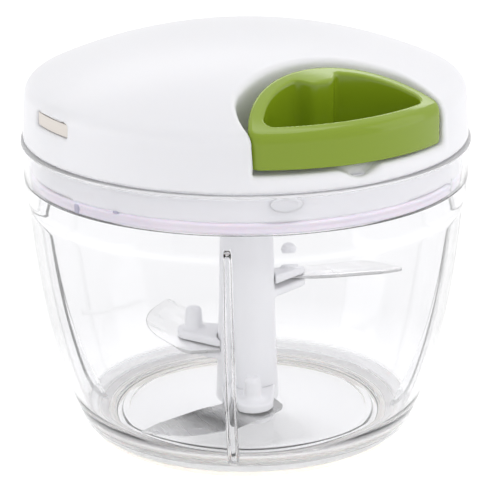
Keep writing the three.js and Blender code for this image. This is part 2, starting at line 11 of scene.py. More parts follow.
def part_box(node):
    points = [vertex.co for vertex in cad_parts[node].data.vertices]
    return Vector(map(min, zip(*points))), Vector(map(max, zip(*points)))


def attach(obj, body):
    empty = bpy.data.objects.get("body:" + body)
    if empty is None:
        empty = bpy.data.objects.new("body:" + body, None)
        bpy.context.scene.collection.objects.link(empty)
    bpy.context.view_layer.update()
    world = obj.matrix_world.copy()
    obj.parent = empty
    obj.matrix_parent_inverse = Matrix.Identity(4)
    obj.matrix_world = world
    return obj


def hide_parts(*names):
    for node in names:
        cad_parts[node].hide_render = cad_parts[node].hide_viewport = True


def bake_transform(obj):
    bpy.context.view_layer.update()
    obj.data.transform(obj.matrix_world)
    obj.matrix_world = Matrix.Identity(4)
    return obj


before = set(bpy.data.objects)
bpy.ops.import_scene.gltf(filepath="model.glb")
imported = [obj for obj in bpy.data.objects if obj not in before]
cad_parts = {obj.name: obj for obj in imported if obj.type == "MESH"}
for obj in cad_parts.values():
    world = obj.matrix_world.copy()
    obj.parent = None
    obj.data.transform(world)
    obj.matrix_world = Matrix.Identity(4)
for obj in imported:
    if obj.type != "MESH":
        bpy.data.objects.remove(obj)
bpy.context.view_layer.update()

MM = 0.001


def span(node):
    """The lowest and highest corner of a CAD node, in millimetres."""
    low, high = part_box(node)
    return np.array(low) / MM, np.array(high) / MM


# ------------------------------------------------------------ sizes, most of them from the frame
RIM_RADIUS, RIM_TOP = span("bowl")[1][0], span("bowl")[1][2]
WALL = 2.7
FOOT_RADIUS, FOOT_HEIGHT = 50.8, 6.0
FOOT_FLARE, SHOULDER_FLARE = 0.42, 0.07  # how far the wall leans out there, mm per mm
SHOULDER_RADIUS = RIM_RADIUS - 1.5
SHOULDER_HEIGHT = RIM_TOP - 15.2
COLLAR_INNER = RIM_RADIUS - 2.2
LEDGE = RIM_TOP - 11.7  # carries the seal
FLOOR, FLOOR_RADIUS = 5.0, 41.5
UNDERSIDE = span("bowl")[0][2]
RIB_AZIMUTHS = [-35 + 90 * i for i in range(4)]
RIB_TOP = RIM_TOP - 16.9
RING_INNER, RING_HIGH = 40.2, span("base_ring")[1]
SEAL_LOW, SEAL_HIGH = span("seal_ring")
LID_LOW, LID_HIGH = span("lid_cover")
LID_WALL, LID_WALL_HEIGHT, LID_DRAFT = 2.2, 14.0, 0.9
BASE_LOW, BASE_HIGH = span("lid_base")
SKIRT_RADIUS, SKIRT_WALL = RIM_RADIUS - 2.8, 2.0
HANDLE_LOW, HANDLE_HIGH = span("handle")
CORD_RADIUS = 1.1
CORD_HEIGHT = (span("cord_knot")[0][2] + span("cord_knot")[1][2]) / 2
STEM_LOW, STEM_HIGH = span("blade_stem")


def rad(azimuth):
    return math.radians(azimuth)


def at(radius, azimuth, height=0.0):
    return np.array([radius * math.sin(rad(azimuth)), -radius * math.cos(rad(azimuth)), height])


# ------------------------------------------------------------ materials
def new_material(name):
    material = bpy.data.materials.new(name)
    material.use_nodes = True
    shader = material.node_tree.nodes["Principled BSDF"]
    return material, material.node_tree, shader


def put(shader, **values):
    for key, value in values.items():
        socket = shader.inputs[key.replace("_", " ")]
        socket.default_value = (*value, 1.0) if isinstance(value, tuple) else value


def coordinates(tree, kind="Object"):
    """The piece's own coordinates, whose unit is the metre, or another output of the same node."""
    return tree.nodes.new("ShaderNodeTexCoord").outputs[kind]


def vector_math(tree, operation, vector, constant=None):
    node = tree.nodes.new("ShaderNodeVectorMath")
    node.operation = operation
    tree.links.new(vector, node.inputs[0])
    if constant is not None:
        node.inputs[1].default_value = constant
    return node


def height_of(tree, vector):
    node = tree.nodes.new("ShaderNodeSeparateXYZ")
    tree.links.new(vector, node.inputs["Vector"])
    return node.outputs["Z"]


def noise(tree, scale, detail=4.0, stretch=(1.0, 1.0, 1.0)):
    mapping = tree.nodes.new("ShaderNodeMapping")
    mapping.inputs["Scale"].default_value = stretch
    texture = tree.nodes.new("ShaderNodeTexNoise")
    texture.inputs["Scale"].default_value = scale
    texture.inputs["Detail"].default_value = detail
    tree.links.new(coordinates(tree), mapping.inputs["Vector"])
    tree.links.new(mapping.outputs["Vector"], texture.inputs["Vector"])
    return texture.outputs["Fac"]


def ramp(tree, value, low, high, start=0.3, end=0.7):
    """Maps a value between start and end to a blend of two colours or two numbers."""
    node = tree.nodes.new("ShaderNodeValToRGB")
    colours = [c if isinstance(c, tuple) else (c, c, c) for c in (low, high)]
    for element, place, colour in zip(node.color_ramp.elements, (start, end), colours):
        element.position = place
        element.color = (*colour, 1.0)
    tree.links.new(value, node.inputs["Fac"])
    return node.outputs["Color"]


def bump(tree, shader, value, distance, strength=1.0):
    node = tree.nodes.new("ShaderNodeBump")
    node.inputs["Distance"].default_value = distance
    node.inputs["Strength"].default_value = strength
    tree.links.new(value, node.inputs["Height"])
    tree.links.new(node.outputs["Normal"], shader.inputs["Normal"])


def between(tree, value, start, end, low, high):
    """Maps a value between start and end to a number between low and high."""
    node = tree.nodes.new("ShaderNodeMapRange")
    for name, number in (("From Min", start), ("From Max", end), ("To Min", low), ("To Max", high)):
        node.inputs[name].default_value = number
    tree.links.new(value, node.inputs["Value"])
    return node.outputs["Result"]


def combine(tree, operation, first, second):
    node = tree.nodes.new("ShaderNodeMath")
    node.operation = operation
    tree.links.new(first, node.inputs[0])
    tree.links.new(second, node.inputs[1])
    return node.outputs["Value"]


def clear_plastic():
    """Clear SAN plastic that is slightly matt on its rim edge and on its foot."""
    material, tree, shader = new_material("clear_san_plastic")
    put(shader, Base_Color=(0.935, 0.935, 0.943), IOR=1.49)
    haze = tree.nodes.new("ShaderNodeVolumeAbsorption")
    haze.inputs["Color"].default_value = (0.88, 0.885, 0.94, 1.0)
    haze.inputs["Density"].default_value = 8.0
    tree.links.new(haze.outputs["Volume"], tree.nodes["Material Output"].inputs["Volume"])
    height = height_of(tree, coordinates(tree))
    flat = vector_math(tree, "MULTIPLY", coordinates(tree), (1.0, 1.0, 0.0))
    radius = vector_math(tree, "LENGTH", flat.outputs["Vector"])
    rim = between(tree, height, (RIM_TOP - 1.0) * MM, (RIM_TOP - 0.4) * MM, 0.0, 1.0)
    low = between(tree, height, 0.0075, 0.0055, 0.0, 1.0)
    outside = between(tree, radius.outputs["Value"], 0.0415, 0.043, 0.0, 1.0)
    matt = combine(tree, "MAXIMUM", rim, combine(tree, "MULTIPLY", low, outside))
    tree.links.new(between(tree, matt, 0.0, 1.0, 1.0, 0.55), shader.inputs["Transmission Weight"])
    rough = ramp(tree, noise(tree, 35.0, 3.0), 0.0, 0.035)
    rough = combine(tree, "ADD", rough, between(tree, matt, 0.0, 1.0, 0.0, 0.3))
    tree.links.new(rough, shader.inputs["Roughness"])
    bump(tree, shader, noise(tree, 60.0, 1.0), 0.00004, 0.25)
    return material


def moulded_plastic(name, light, dark, rough, scatter=0.0, grain=0.00002):
    """Smooth injection-moulded plastic: faint flow marks in its colour and a very fine grain."""
    material, tree, shader = new_material(name)
    colour = ramp(tree, noise(tree, 22.0, 3.0), dark, light)
    tree.links.new(colour, shader.inputs["Base Color"])
    gloss = ramp(tree, noise(tree, 90.0, 5.0), rough * 0.97, rough * 1.04)
    tree.links.new(gloss, shader.inputs["Roughness"])
    put(shader, IOR=1.5, Subsurface_Weight=scatter, Subsurface_Scale=0.006)
    shader.inputs["Subsurface Radius"].default_value = (1.0, 0.95, 0.9)
    bump(tree, shader, noise(tree, 900.0, 3.0), grain, 0.4)
    return material


def grip_rubber():
    material, tree, shader = new_material("grip_rubber")
    colour = ramp(tree, noise(tree, 160.0, 8.0), (0.79, 0.765, 0.71), (0.86, 0.84, 0.79))
    tree.links.new(colour, shader.inputs["Base Color"])
    gloss = ramp(tree, noise(tree, 400.0, 4.0), 0.5, 0.75)
    tree.links.new(gloss, shader.inputs["Roughness"])
    put(shader, IOR=1.45, Subsurface_Weight=0.1, Subsurface_Scale=0.002)
    bump(tree, shader, noise(tree, 2600.0, 6.0), 0.00008, 0.5)
    return material


def seal_silicone():
    material, tree, shader = new_material("seal_silicone")
    colour = ramp(tree, noise(tree, 60.0, 5.0), (0.8, 0.765, 0.87), (0.88, 0.815, 0.9))
    tree.links.new(colour, shader.inputs["Base Color"])
    gloss = ramp(tree, noise(tree, 300.0, 3.0), 0.28, 0.42)
    tree.links.new(gloss, shader.inputs["Roughness"])
    put(shader, IOR=1.41, Subsurface_Weight=0.2, Subsurface_Scale=0.002)
    return material


def steel(name, tone, rough, stretch, depth=0.00001):
    """Metal with grinding lines that run across the direction that stretch squeezes."""
    material, tree, shader = new_material(name)
    lines = noise(tree, 500.0, 6.0, stretch)
    dark = tuple(0.86 * c for c in tone)
    tree.links.new(ramp(tree, lines, dark, tone), shader.inputs["Base Color"])
    tree.links.new(ramp(tree, lines, rough * 0.7, rough * 1.4), shader.inputs["Roughness"])
    put(shader, Metallic=1.0)
    bump(tree, shader, lines, depth, 0.5)
    return material


def painted_reflection_along(material, direction, tones):
    """Painted reflection: a grey that changes along a direction, in place of the dark and bright
    surroundings the steel mirrors. The tones are pairs of a length in mm and a grey.
    """
    tree = material.node_tree
    along = vector_math(tree, "DOT_PRODUCT", coordinates(tree), tuple(direction))
    reach = tones[-1][0]
    share = between(tree, along.outputs["Value"], 0.0, reach * MM, 0.0, 1.0)
    node = tree.nodes.new("ShaderNodeValToRGB")
    while len(node.color_ramp.elements) < len(tones):
        node.color_ramp.elements.new(0.5)
    for element, (place, tone) in zip(node.color_ramp.elements, tones):
        element.position = place / reach
        element.color = (tone, tone, tone, 1.0)
    tree.links.new(share, node.inputs["Fac"])
    tree.links.new(node.outputs["Color"], tree.nodes["Principled BSDF"].inputs["Base Color"])


def paint_edge_shade(material):
    """Painted shade: the colour darkens where the surface turns away from the flat of the blade, on
    its cut edges.
    """
    tree = material.node_tree
    upright = tree.nodes.new("ShaderNodeMath")
    upright.operation = "ABSOLUTE"
    tree.links.new(height_of(tree, coordinates(tree, "Normal")), upright.inputs[0])
    colour = ramp(tree, upright.outputs["Value"], 0.58, 0.93, 0.8, 0.97)
    tree.links.new(colour, tree.nodes["Principled BSDF"].inputs["Base Color"])


def braid():
    """Cord of twisted strands: slanted waves across the cord."""
    material, tree, shader = new_material("braided_cord")
    waves = []
    for slant in (1.0, -1.0):
        mapping = tree.nodes.new("ShaderNodeMapping")
        mapping.inputs["Rotation"].default_value = (0.0, 0.0, slant * math.radians(50))
        wave = tree.nodes.new("ShaderNodeTexWave")
        wave.inputs["Scale"].default_value = 260.0
        wave.inputs["Distortion"].default_value = 0.6
        tree.links.new(coordinates(tree), mapping.inputs["Vector"])
        tree.links.new(mapping.outputs["Vector"], wave.inputs["Vector"])
        waves.append(wave.outputs["Fac"])
    weave = combine(tree, "MULTIPLY", *waves)
    colour = ramp(tree, weave, (0.55, 0.54, 0.5), (0.82, 0.81, 0.78), 0.0, 0.5)
    tree.links.new(colour, shader.inputs["Base Color"])
    put(shader, Roughness=0.85, Sheen_Weight=0.3)
    bump(tree, shader, weave, 0.0003, 0.8)
    return material


def glowing_floor():
    material, tree, shader = new_material("pale_floor_painted_glow")
    colour = ramp(tree, noise(tree, 3.0, 2.0), 0.62, 0.64)
    tree.links.new(colour, shader.inputs["Base Color"])
    # Painted light: the floor glows. The glow is strongest under and round the object, where it
    # lifts the shade and shadow the object casts. It is weaker further out and rises a little again
    # far away.
    put(shader, Roughness=0.9, Emission_Color=(1.0, 1.0, 1.0))
    distance = vector_math(tree, "LENGTH", coordinates(tree))
    near = between(tree, distance.outputs["Value"], 0.05, 0.11, 0.68, 0.4)
    far = between(tree, distance.outputs["Value"], 0.22, 0.36, 0.0, 0.1)
    tree.links.new(combine(tree, "ADD", near, far), shader.inputs["Emission Strength"])
    return material


CLEAR = clear_plastic()
WHITE = moulded_plastic("white_abs", (0.805, 0.8, 0.832), (0.802, 0.797, 0.829), 0.34, 0.55)
STEM_WHITE = moulded_plastic(
    "white_stem_abs", (0.84, 0.84, 0.86), (0.835, 0.835, 0.856), 0.35, 0.08)
GREEN = moulded_plastic(
    "lime_green_abs", (0.219, 0.312, 0.012), (0.216, 0.308, 0.011), 0.13, 0.08)
BEIGE = moulded_plastic("beige_pom", (0.74, 0.69, 0.64), (0.7, 0.65, 0.6), 0.45)
NYLON = moulded_plastic("natural_nylon", (0.72, 0.69, 0.62), (0.66, 0.63, 0.56), 0.5)
GRIP = grip_rubber()
SILICONE = seal_silicone()
TAB = moulded_plastic("lilac_tab", (0.46, 0.44, 0.58), (0.43, 0.41, 0.55), 0.4)
BLADE_STEEL = steel("blade_steel", (0.93, 0.93, 0.94), 0.34, (1.0, 0.06, 1.0))
# Painted shade on the edges of the upper and middle blades.
paint_edge_shade(BLADE_STEEL)
LOWER_BLADE_STEEL = steel("lower_blade_painted_reflection_steel", (0.8, 0.8, 0.81), 0.26, (1.0, 0.06, 1.0))
PIN_STEEL = steel("turned_steel", (0.6, 0.61, 0.63), 0.3, (0.1, 0.1, 1.0))
SPRING_STEEL = steel("spring_steel", (0.2, 0.22, 0.27), 0.3, (1.0, 1.0, 0.05))
CORD = braid()


# ------------------------------------------------------------ mesh helpers
def mesh_piece(name, points, faces, material, body, replaced=()):
    """A smooth mesh from points in millimetres, riding on a CAD body."""
    mesh = bpy.data.meshes.new(name)
    mesh.from_pydata((np.asarray(points) * MM).tolist(), [], faces)
    mesh.validate()
    mesh.shade_smooth()
    mesh.materials.append(material)
    piece = bpy.data.objects.new(name, mesh)
    bpy.context.scene.collection.objects.link(piece)
    if body:
        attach(piece, body)
    if replaced:
        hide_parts(*replaced)
    return piece


def bezier(start, first, second, end, steps):
    t = np.linspace(0, 1, steps + 1)[:, None]
    start, first, second, end = (np.array(p, float) for p in (start, first, second, end))
    near_start = (1 - t) ** 3 * start + 3 * (1 - t) ** 2 * t * first
    return near_start + 3 * (1 - t) * t**2 * second + t**3 * end


def rounded(corners, radius, steps=4):
    """A [radius, height] outline whose inner corners are rounded, each limited by its sides."""
    corners = [np.array(c[:2], float) for c in corners]
    result = [corners[0]]
    for before, corner, after in zip(corners, corners[1:], corners[2:]):
        length_a, length_b = np.linalg.norm(before - corner), np.linalg.norm(after - corner)
        reach = min(radius, length_a * 0.45, length_b * 0.45)
        a = corner + (before - corner) / length_a * reach
        b = corner + (after - corner) / length_b * reach
        for t in np.linspace(0, 1, steps + 1):
            result.append((1 - t) ** 2 * a + 2 * (1 - t) * t * corner + t**2 * b)
    return result + [corners[-1]]


def turned(name, profile, material, body, replaced=(), columns=128, closed=False):
    """A piece turned about Z. The profile runs anticlockwise with the radius to the right."""
    angles = np.linspace(0, 2 * math.pi, columns, endpoint=False)
    rows = [np.full((columns, 2), p) for p in profile]
    return grid_piece(name, rows, [angles] * len(rows), material, body, replaced, closed)


def grid_piece(name, rows, angles, material, body, replaced=(), closed=False):
    """Rows of [radius, height], one per column, at the row's own angles, joined into quads."""
    points, index = [], []
    for row, angle in zip(rows, angles):
        if row[0][0] < 1e-6:
            index.append([len(points)] * len(row))
            points.append((0.0, 0.0, row[0][1]))
            continue
        index.append(list(range(len(points), len(points) + len(row))))
        points.extend(zip(row[:, 0] * np.sin(angle), -row[:, 0] * np.cos(angle), row[:, 1]))
    faces = []
    last = len(rows) if closed else len(rows) - 1
    columns = len(angles[0])
    for r in range(last):
        low, high = index[r], index[(r + 1) % len(rows)]
        for c in range(columns):
            d = (c + 1) % columns
            corners = [low[c], low[d], high[d], high[c]]
            faces.append([v for i, v in enumerate(corners) if v != corners[i - 1]])
    return mesh_piece(name, points, faces, material, body, replaced)


# ------------------------------------------------------------ solids from distance fields
def round_max(a, b, radius):
    """The cut of two fields, with the edge rounded."""
    corner = np.hypot(np.maximum(a + radius, 0), np.maximum(b + radius, 0)) - radius
    return np.where((a > -radius) & (b > -radius), corner, np.maximum(a, b))


def round_min(a, b, radius):
    """The join of two fields, with a fillet."""
    return -round_max(-a, -b, radius)


def surface(name, field, low, high, step, material, body, replaced=()):
    """The closed skin where a distance field is zero: one vertex in each grid cell that the skin
    crosses, moved onto the exact surface, and a quad round each crossed grid edge."""
    axes = [np.arange(l - 1.5 * step, h + 2.5 * step, step) for l, h in zip(low, high)]
    grid = np.meshgrid(*axes, indexing="ij")
    value = field(*grid)
    size = np.array(value.shape) - 1
    total = np.zeros((*size, 3))
    count = np.zeros(size)
    for axis in range(3):
        others = [a for a in range(3) if a != axis]
        for i in (0, 1):
            for j in (0, 1):
                offset = np.zeros(3, int)
                offset[others[0]], offset[others[1]] = i, j
                far = offset.copy()
                far[axis] = 1
                a = value[tuple(slice(o, o + s) for o, s in zip(offset, size))]
                b = value[tuple(slice(o, o + s) for o, s in zip(far, size))]
                crossed = (a < 0) != (b < 0)
                share = np.where(crossed, a / np.where(crossed, a - b, 1), 0)
                for k in range(3):
                    total[..., k] += crossed * (offset[k] + (share if k == axis else 0))
                count += crossed
    used = count > 0
    number = np.full(size, -1)
    number[used] = np.arange(used.sum())
    cell = np.argwhere(used)
    origin = np.array([a[0] for a in axes])
    points = origin + (cell + total[used] / count[used][:, None]) * step
    start = points.copy()
    small = 0.02
    for _ in range(4):
        here = field(*points.T)
        slope = np.stack([
            (field(*(points + small * e).T) - field(*(points - small * e).T)) / (2 * small)
            for e in np.eye(3)
        ], axis=1)
        points -= (here / np.maximum((slope**2).sum(1), 0.2))[:, None] * slope
        points = start + np.clip(points - start, -0.7 * step, 0.7 * step)
    faces = []
    for axis in range(3):
        one, two = (axis + 1) % 3, (axis + 2) % 3
        shift = np.zeros(3, int)
        shift[axis] = 1
        a = value[tuple(slice(0, n - s) for n, s in zip(value.shape, shift))] < 0
        b = value[tuple(slice(s, n) for n, s in zip(value.shape, shift))] < 0
        edges = np.argwhere(a != b)
        inside_first = a[tuple(edges.T)]
        e1, e2 = np.eye(3, dtype=int)[one], np.eye(3, dtype=int)[two]
        quad = [number[tuple((edges - d).T)] for d in (0 * e1, e1, e1 + e2, e2)]
        quad = np.stack(quad, axis=1)
        quad[~inside_first] = quad[~inside_first][:, ::-1]
        faces.append(quad)
    return mesh_piece(name, points, np.concatenate(faces).tolist(), material, body, replaced)


# ------------------------------------------------------------ bowl
def bowl_profile():
    """The bowl's outline from under its middle, up the outside, over the rim and down the inside.
    Each row holds its own point and the point that a rib's crest moves it to."""
    over_ring = RING_HIGH[2] + 0.3
    outer = bezier(
        (FOOT_RADIUS, FOOT_HEIGHT),
        (FOOT_RADIUS + FOOT_FLARE * 20, FOOT_HEIGHT + 20),
        (SHOULDER_RADIUS - SHOULDER_FLARE * 28, SHOULDER_HEIGHT - 28),
        (SHOULDER_RADIUS, SHOULDER_HEIGHT), 40)
    below_collar = outer[outer[:, 1] < SHOULDER_HEIGHT - 6]
    corner = bezier(
        (RING_HIGH[0] + 0.1, over_ring), (49.3, over_ring + 0.3), (50.2, 4.6), outer[0], 8)
    bottom = rounded(
        [(0, UNDERSIDE), (RING_INNER, UNDERSIDE), (RING_INNER, over_ring), corner[0]], 0.3)[:-1]
    step_out = bezier(
        below_collar[-1],
        below_collar[-1] + [0.1, 2.5],
        (RIM_RADIUS - 0.9, SHOULDER_HEIGHT - 3.5),
        (RIM_RADIUS - 0.8, SHOULDER_HEIGHT), 8)
    collar = rounded([
        step_out[-1],
        (RIM_RADIUS - 0.3, RIM_TOP - 6),
        (RIM_RADIUS, RIM_TOP - 0.5),
        (RIM_RADIUS - 0.3, RIM_TOP),
        (COLLAR_INNER + 0.1, RIM_TOP),
        (COLLAR_INNER, RIM_TOP - 0.4),
        (COLLAR_INNER, LEDGE),
        (SHOULDER_RADIUS - WALL, LEDGE),
        (SHOULDER_RADIUS - WALL, SHOULDER_HEIGHT),
    ], 0.5)[1:-1]
    plain = [*bottom, *corner, *below_collar[1:], *step_out[1:], *collar]
    steps = 44
    wall = np.array([(r - WALL, z) for r, z in outer[::-1]])
    foot_of_wall = wall[-6]
    turn_in = bezier(
        foot_of_wall,
        (foot_of_wall[0] - 2.6, foot_of_wall[1] - 6),
        (FLOOR_RADIUS + 4, FLOOR),
        (FLOOR_RADIUS, FLOOR), 16)
    inner = np.concatenate([wall[:-6], turn_in])
    crest = bezier(
        (SHOULDER_RADIUS - WALL - 0.7, RIB_TOP),
        (SHOULDER_RADIUS - WALL - 3.0, RIB_TOP - 25),
        (FOOT_RADIUS + 5.5, FLOOR + 22),
        (FOOT_RADIUS - 7.4, FLOOR), steps)
    starts = int(np.argmax(inner[:, 1] < RIB_TOP))
    ribbed = inner[starts:]
    lengths = np.concatenate([[0], np.cumsum(np.linalg.norm(np.diff(ribbed, axis=0), axis=1))])
    share = np.clip(lengths / (lengths[-1] - 2.5), 0, 1) * steps
    crest_points = np.stack(
        [np.interp(share, np.arange(steps + 1), crest[:, k]) for k in (0, 1)], axis=1)
    rows = [(p, p) for p in plain] + [(p, p) for p in inner[:starts]]
    above_rib = ribbed[0] + [0, 0.25]
    rows += [(above_rib, above_rib), *zip(ribbed, crest_points)]
    floor = rounded([
        (41.4, FLOOR), (40.9, FLOOR), (40.5, FLOOR - 0.35), (38.6, FLOOR - 0.35), (38.2, FLOOR),
        (36.4, FLOOR), (36.0, FLOOR - 0.2), (6.3, FLOOR - 0.2), (5.6, FLOOR + 2.2),
        (2.4, FLOOR + 2.2),
        (2.4, UNDERSIDE + 0.9), (0, UNDERSIDE + 0.9)], 0.25)
    return rows + [(p, p) for p in floor]


def bowl():
    """The bowl in one skin. Its columns lie closer together where a rib rises from the wall."""
    near = np.array([-3.0, -2.0, -1.4, -1.15, -1.02, -0.94, -0.86, -0.78, -0.66, -0.4])
    offsets = np.concatenate([near, [0.0], -near[::-1]])
    height = 1 / (1 + np.exp((np.abs(offsets) - 0.88) / 0.07))
    height[np.abs(offsets) > 1.5] = 0
    far = 26
    rows, angles = [], []
    for point, crest in bowl_profile():
        point, crest = np.array(point, float), np.array(crest, float)
        on_radius = max(point[0], 40.0)
        widen = 1 + 0.35 * np.clip((75 - point[1]) / 70, 0, 1)
        row, angle = [], []
        for azimuth in RIB_AZIMUTHS:
            here = rad(azimuth) + offsets * widen / on_radius
            following = rad(azimuth + 90) + offsets[0] * widen / on_radius
            smooth = np.linspace(here[-1], following, far + 2)[1:-1]
            angle += [*here, *smooth]
            row += [point + (crest - point) * h for h in height] + [point] * far
        rows.append(np.array(row))
        angles.append(np.array(angle))
    return grid_piece("clear_bowl", rows, angles, CLEAR, "bowl", ["bowl"])


def base_ring():
    inner, outer, height = RING_INNER + 0.2, RING_HIGH[0], RING_HIGH[2]
    toe = [(outer - 4 * (1 - t) ** 2, height * t) for t in np.linspace(0, 1, 14)]
    profile = rounded([
        (inner, 0.0), (inner + 1.5, 0.0), *toe, (inner, height), (inner, 0.3)], 0.25, 2)
    return turned("grip_ring", profile, GRIP, "bowl", ["base_ring"], 160, True)


def seal_ring():
    outer, low, high = SEAL_HIGH[0], SEAL_LOW[2], SEAL_HIGH[2]
    bead = (low + high) / 2
    profile = rounded([
        (outer - 2, low + 0.4), (outer - 1.6, low), (outer - 0.4, low), (outer, low + 0.5),
        (outer - 0.35, bead), (outer, high - 0.5), (outer - 0.4, high), (outer - 1.6, high),
        (outer - 2, high - 0.4), (outer - 2, low + 0.6)], 0.3, 2)
    return turned("seal", profile, SILICONE, "seal", ["seal_ring"], 160, True)


# ------------------------------------------------------------ lid
LID_RADIUS, LID_FOOT, DOME_TOP = LID_HIGH[0], LID_LOW[2], LID_HIGH[2]
DOME_EDGE_RADIUS = LID_RADIUS - LID_DRAFT - 1.65
DOME_RISE = 14.0
DOME_SPHERE = (DOME_EDGE_RADIUS**2 + DOME_RISE**2) / (2 * DOME_RISE)
DOME_CENTRE = DOME_TOP - DOME_SPHERE
HANDLE_FRONT = -HANDLE_LOW[1]
HANDLE_BACK = -HANDLE_HIGH[1]
HANDLE_RADIUS = 34.0
HANDLE_WALL = 4.2
HANDLE_CENTRE = HANDLE_BACK + HANDLE_RADIUS
HANDLE_SIDE = HANDLE_HIGH[0]
BOSS_DEPTH = 4.3
BOSS_END = HANDLE_BACK + HANDLE_WALL + BOSS_DEPTH
RECESS_RADIUS, RECESS_BACK = 41.0, 30.8
RECESS_CENTRE = RECESS_BACK + RECESS_RADIUS
RECESS_SIDE = HANDLE_SIDE + 0.4
RECESS_FLOOR = HANDLE_LOW[2] - 0.9
RECESS_WALL, RECESS_FLOOR_THICKNESS = 2.0, 3.0
SCALLOP_RADIUS, SCALLOP_DEPTH, SCALLOP_REACH, SCALLOP_X = 9.0, 2.2, 4.5, -1.2
WINDOW_AZIMUTHS, WINDOW_LIFT = (-88, 92), 11.1
WINDOW_HALF_WIDTH, WINDOW_HALF_HEIGHT = 9.2, 2.1


def dome_field(x, y, z, inset=0.0):
    """Negative inside the lid's outer form, which is a sphere cap on a slightly tapering wall."""
    radius = np.hypot(x, y)
    dome = np.sqrt(x**2 + y**2 + (z - DOME_CENTRE) ** 2) - DOME_SPHERE + inset
    taper = LID_RADIUS - LID_DRAFT * np.clip((z - LID_FOOT) / LID_WALL_HEIGHT, -0.2, 1.2)
    wall = (radius - taper + inset) * 0.998
    return round_max(dome, wall, max(2.4 - inset * 0.6, 0.8))


def recess_plan(x, y):
    """Negative inside the handle's recess, seen from above."""
    arc = np.hypot(x, y + RECESS_CENTRE) - RECESS_RADIUS
    side = np.abs(x) - RECESS_SIDE
    return np.where(y + RECESS_CENTRE > 8, round_max(arc, side, 6.0), side)


def lid_cover_field(x, y, z):
    radius = np.hypot(x, y)
    form = dome_field(x, y, z)
    plan = recess_plan(x, y)
    pocket_walls = np.maximum(plan - RECESS_WALL, RECESS_FLOOR - RECESS_FLOOR_THICKNESS - z)
    pocket_walls = round_max(pocket_walls, form, 0.3)
    shell = np.maximum(form, -dome_field(x, y, z, LID_WALL))
    body = round_min(shell, pocket_walls, 0.4)
    body = round_max(body, LID_FOOT - z, 0.5)
    pocket = round_max(plan, RECESS_FLOOR - z, 1.2)
    scoop_axis = RECESS_FLOOR - SCALLOP_DEPTH + SCALLOP_RADIUS
    scoop = np.hypot(x - SCALLOP_X, z - scoop_axis) - SCALLOP_RADIUS
    scoop = round_max(scoop, -(radius - (LID_RADIUS - SCALLOP_REACH)), 1.5)
    scoop = np.maximum(scoop, y)  # at the front only, not through the wall behind
    pocket = round_min(pocket, scoop, 1.2)
    lip = np.clip((y + 62.0 - 12.0 * np.clip(x / 20, 0, 1)) / 14.0, 0, 1)
    low = np.clip((RECESS_FLOOR + 2.5 - z) / 2.0, 0, 1)
    body = round_max(body, -pocket, 0.5 + 1.3 * np.maximum(lip, low))
    hole = np.maximum(np.hypot(x, z - CORD_HEIGHT) - 3.0, np.abs(y + RECESS_BACK) - 6)
    body = np.maximum(body, -hole)
    for azimuth in WINDOW_AZIMUTHS:
        out = at(1.0, azimuth)
        along = x * out[0] + y * out[1]
        across = np.abs(-x * out[1] + y * out[0]) - WINDOW_HALF_WIDTH
        upright = np.abs(z - LID_FOOT - WINDOW_LIFT) - WINDOW_HALF_HEIGHT
        window = round_max(across, upright, 1.0)
        window = np.maximum(window, 40 - along)
        body = round_max(body, -window, 0.35)
    return body


def lid_cover():
    low = (-LID_RADIUS, -LID_RADIUS, LID_FOOT)
    high = (LID_RADIUS, LID_RADIUS, DOME_TOP)
    step = 0.8
    return surface("lid_dome", lid_cover_field, low, high, step, WHITE,
                   "lid", ["lid_cover"])


def lid_base():
    """The white inner cover whose skirt shows through the collar, undercut at two places."""
    low, high, skirt = BASE_LOW[2], BASE_HIGH[2], SKIRT_RADIUS
    inner = skirt - SKIRT_WALL
    plate = low + 1.4
    hole = 9.9
    outside = rounded([
        (skirt - 0.5, low), (skirt, low + 0.4), (skirt, low + 1.3), (skirt, RIM_TOP - 0.1),
        (62.6, RIM_TOP + 0.3), (62.6, high - 0.3), (62.2, high), (inner, high),
        (inner, plate + 2.5), (hole, plate + 2.5), (hole, plate),
        (inner - 6, plate), (inner - 6.4, plate + 0.3), (inner - 7, plate), (inner, plate),
        (inner, low), (skirt - 0.8, low)], 0.3, 3)
    angles = np.linspace(0, 2 * math.pi, 360, endpoint=False)
    degrees = (np.degrees(angles) + 180) % 360 - 180
    under = np.zeros(360)
    for start, end in ((-140, -79), (14, 34)):
        under[(degrees > start) & (degrees < end)] = 1
    rows = []
    for radius, height in outside:
        row = np.full((360, 2), (radius, height))
        if radius > skirt - 0.6 and height < low + 1.15:
            row[:, 0] -= 0.55 * under
        rows.append(row)
    return grid_piece("lid_inner_cover", rows, [angles] * len(rows), WHITE,
                      "lid", ["lid_base"], True)


def skirt_marks():
    """Small lugs on the skirt and the seal, seen through the collar."""
    seal, seal_low, seal_high = SEAL_HIGH[0], SEAL_LOW[2], SEAL_HIGH[2]
    skirt, skirt_low = SKIRT_RADIUS, BASE_LOW[2]
    marks = (
        ("seal_tab", -77.3, seal_low + 0.2, seal_high - 0.2, 0.9, seal - 1.4, seal + 0.2, TAB),
        ("skirt_nub", -64.2, skirt_low - 0.3, skirt_low + 0.5, 0.8, skirt - 1.2, skirt + 0.15, TAB),
        ("skirt_rib", 34.6, skirt_low - 2.6, skirt_low + 1.5, 0.45, skirt - 1.2, skirt + 0.35,
         WHITE),
    )
    pieces = []
    for name, azimuth, bottom, top, half, near, far, material in marks:
        out, side = at(1.0, azimuth), at(1.0, azimuth + 90)

        def field(x, y, z):
            along = np.abs(x * out[0] + y * out[1] - (near + far) / 2) - (far - near) / 2
            across = np.abs(x * side[0] + y * side[1]) - half
            upright = np.abs(z - (bottom + top) / 2) - (top - bottom) / 2
            return round_max(round_max(along, across, 0.25), upright, 0.25)

        centre = at((near + far) / 2, azimuth, (bottom + top) / 2)
        reach = max(far - near, top - bottom, 2 * half) / 2 + 0.2
        pieces.append(surface(name, field, centre - reach, centre + reach, 0.15, material,
                              "lid"))
    return pieces


